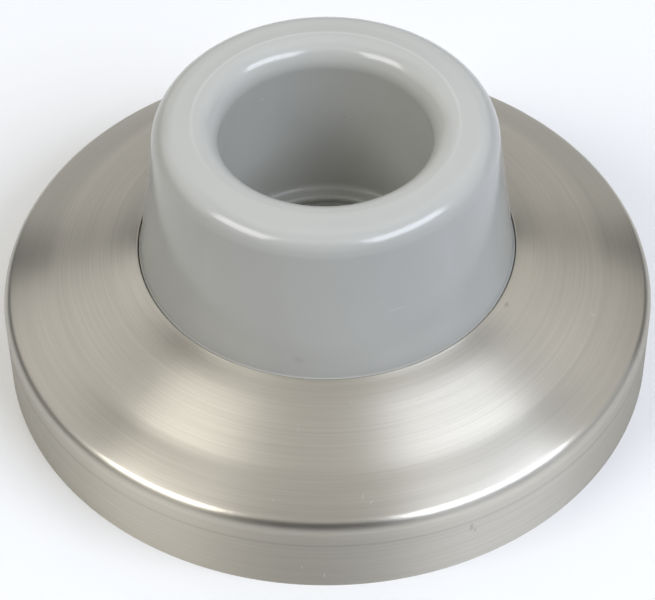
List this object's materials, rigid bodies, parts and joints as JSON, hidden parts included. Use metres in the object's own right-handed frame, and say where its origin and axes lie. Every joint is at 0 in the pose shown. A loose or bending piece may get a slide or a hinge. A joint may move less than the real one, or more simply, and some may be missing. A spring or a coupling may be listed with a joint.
{
  "type": "concave wall door stop",
  "caption": "Round wall door stop: a low satin nickel rose with a tapered grey rubber bumper whose deep round cavity clears a door knob's button.",
  "frame": {"origin": "centre of the back face, in the plane of the wall", "axes": "+Z along the stop's axis, out of the wall towards the room; the stop is round, so X and Y are free"},
  "size_m": [0.0636, 0.0636, 0.029],
  "materials": {
    "satin_nickel": "satin nickel, brushed in rings on the cone, a little glossier on the skirt",
    "grey_rubber": "moulded grey rubber with a soft sheen",
    "zinc_plate": "dull zinc-plated pressed steel"
  },
  "bodies": {
    "root": {"cover_rose": "satin_nickel", "rubber_bumper": "grey_rubber", "retaining_washer": "zinc_plate"}
  },
  "joints": []
}
